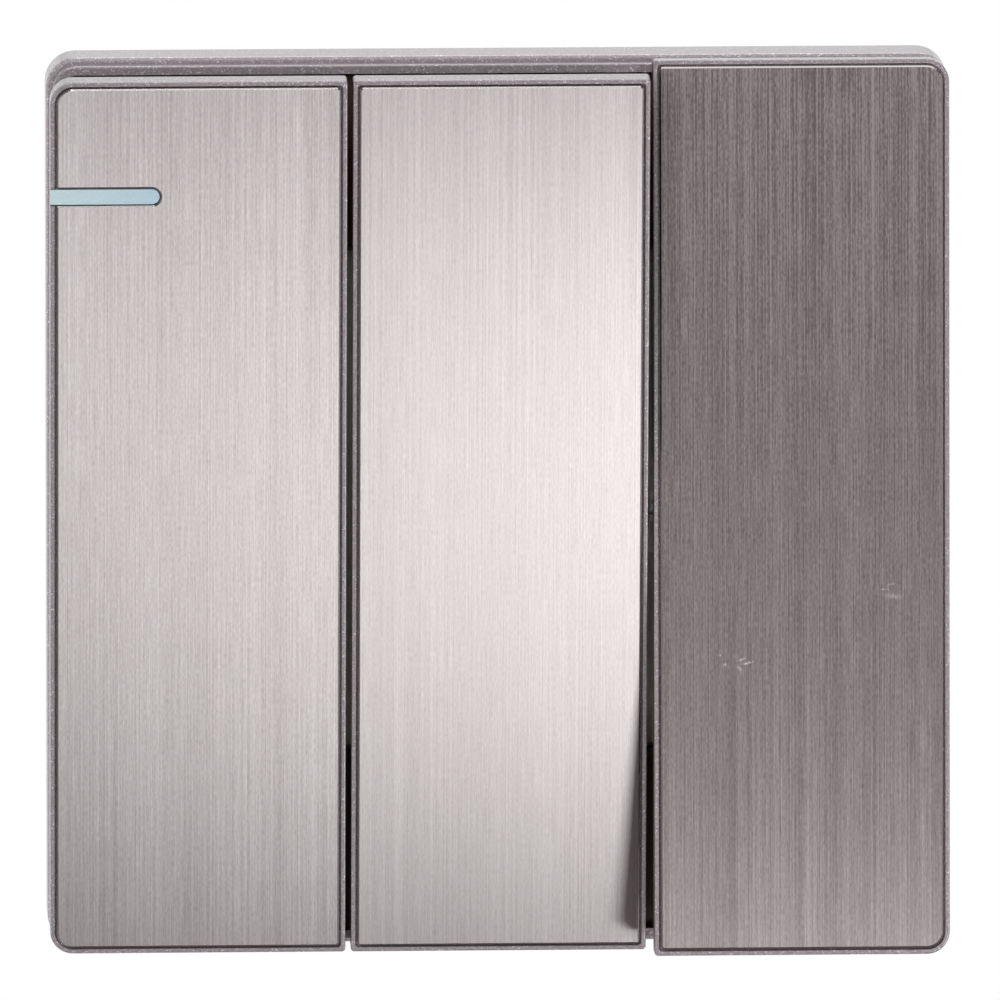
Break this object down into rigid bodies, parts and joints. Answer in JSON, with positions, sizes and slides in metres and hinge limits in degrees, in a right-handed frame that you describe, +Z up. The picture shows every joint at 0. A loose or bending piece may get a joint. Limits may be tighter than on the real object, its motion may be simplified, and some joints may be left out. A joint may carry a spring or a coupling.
{
  "type": "three-gang light switch",
  "caption": "Square wall light switch with tall rocker keys faced in brushed metal, each tipping a rocking contact in a shared rear housing.",
  "frame": {"origin": "centre of the steel yoke's rear face, midway between the two mounting slots, in the wall plane", "axes": "+X to the right, +Y into the wall, +Z up; the front faces -Y"},
  "size_m": [0.086, 0.035, 0.0862],
  "materials": {
    "frame_paint": "metallic painted plastic",
    "brushed_plate": "vertical brush",
    "glow_resin": "translucent",
    "zinc_steel": "zinc plated",
    "housing_nylon": "moulded",
    "carrier_acetal": "moulded",
    "terminal_brass": "pressed",
    "contact_silver": "welded tip",
    "spring_steel": "drawn wire",
    "plunger_nylon": "moulded"
  },
  "bodies": {
    "base": {"front_frame": "frame_paint", "mounting_yoke": "zinc_steel", "mechanism_cover": "housing_nylon", "rear_housing": "housing_nylon", "fixed_contact_tips": "contact_silver", "terminal_screws": "zinc_steel", "assembly_screws": "zinc_steel", "common_terminal_left": "terminal_brass", "load_terminal_left": "terminal_brass", "common_terminal_middle": "terminal_brass", "load_terminal_middle": "terminal_brass", "common_terminal_right": "terminal_brass", "load_terminal_right": "terminal_brass"},
    "key_left": {"rocker_left": "frame_paint", "face_plate_left": "brushed_plate", "key_carrier_left": "carrier_acetal", "plunger_spring_left": "spring_steel", "glow_strip": "glow_resin"},
    "plunger_left": {"plunger_left": "plunger_nylon"},
    "contact_left": {"contact_arm_left": "terminal_brass", "contact_tip_left": "contact_silver"},
    "key_middle": {"rocker_middle": "frame_paint", "face_plate_middle": "brushed_plate", "key_carrier_middle": "carrier_acetal", "plunger_spring_middle": "spring_steel"},
    "plunger_middle": {"plunger_middle": "plunger_nylon"},
    "contact_middle": {"contact_arm_middle": "terminal_brass", "contact_tip_middle": "contact_silver"},
    "key_right": {"rocker_right": "frame_paint", "face_plate_right": "brushed_plate", "key_carrier_right": "carrier_acetal", "plunger_spring_right": "spring_steel"},
    "plunger_right": {"plunger_right": "plunger_nylon"},
    "contact_right": {"contact_arm_right": "terminal_brass", "contact_tip_right": "contact_silver"}
  },
  "joints": [
    {"name": "rocker_hinge_left", "type": "hinge", "parent": "base", "child": "key_left", "pos_m": [-0.0195, -0.0075, 0], "axis": [1, 0, 0], "range_deg": [-9, 0]},
    {"name": "plunger_slide_left", "type": "slide", "parent": "key_left", "child": "plunger_left", "axis": [0, 0.9969, 0.0785], "range_m": [-0.001, 0], "stiffness_N_per_m": 300, "springref_m": 0.004, "deforming": ["plunger_spring_left"]},
    {"name": "contact_hinge_left", "type": "hinge", "parent": "base", "child": "contact_left", "pos_m": [-0.0195, 0.0075, 0], "axis": [1, 0, 0], "range_deg": [0, 26]},
    {"name": "rocker_hinge_middle", "type": "hinge", "parent": "base", "child": "key_middle", "pos_m": [0, -0.0075, 0], "axis": [1, 0, 0], "range_deg": [-9, 0]},
    {"name": "plunger_slide_middle", "type": "slide", "parent": "key_middle", "child": "plunger_middle", "axis": [0, 0.9969, 0.0785], "range_m": [-0.001, 0], "stiffness_N_per_m": 300, "springref_m": 0.004, "deforming": ["plunger_spring_middle"]},
    {"name": "contact_hinge_middle", "type": "hinge", "parent": "base", "child": "contact_middle", "pos_m": [0, 0.0075, 0], "axis": [1, 0, 0], "range_deg": [0, 26]},
    {"name": "rocker_hinge_right", "type": "hinge", "parent": "base", "child": "key_right", "pos_m": [0.0195, -0.0075, 0], "axis": [1, 0, 0], "range_deg": [0, 9]},
    {"name": "plunger_slide_right", "type": "slide", "parent": "key_right", "child": "plunger_right", "axis": [0, 0.9969, -0.0785], "range_m": [-0.001, 0], "stiffness_N_per_m": 300, "springref_m": 0.004, "deforming": ["plunger_spring_right"]},
    {"name": "contact_hinge_right", "type": "hinge", "parent": "base", "child": "contact_right", "pos_m": [0.0195, 0.0075, 0], "axis": [1, 0, 0], "range_deg": [-26, 0]}
  ],
  "couplings": [
    {"joint": "contact_hinge_left", "follows": "rocker_hinge_left", "ratio": -2.8889},
    {"joint": "contact_hinge_middle", "follows": "rocker_hinge_middle", "ratio": -2.8889},
    {"joint": "contact_hinge_right", "follows": "rocker_hinge_right", "ratio": -2.8889}
  ]
}
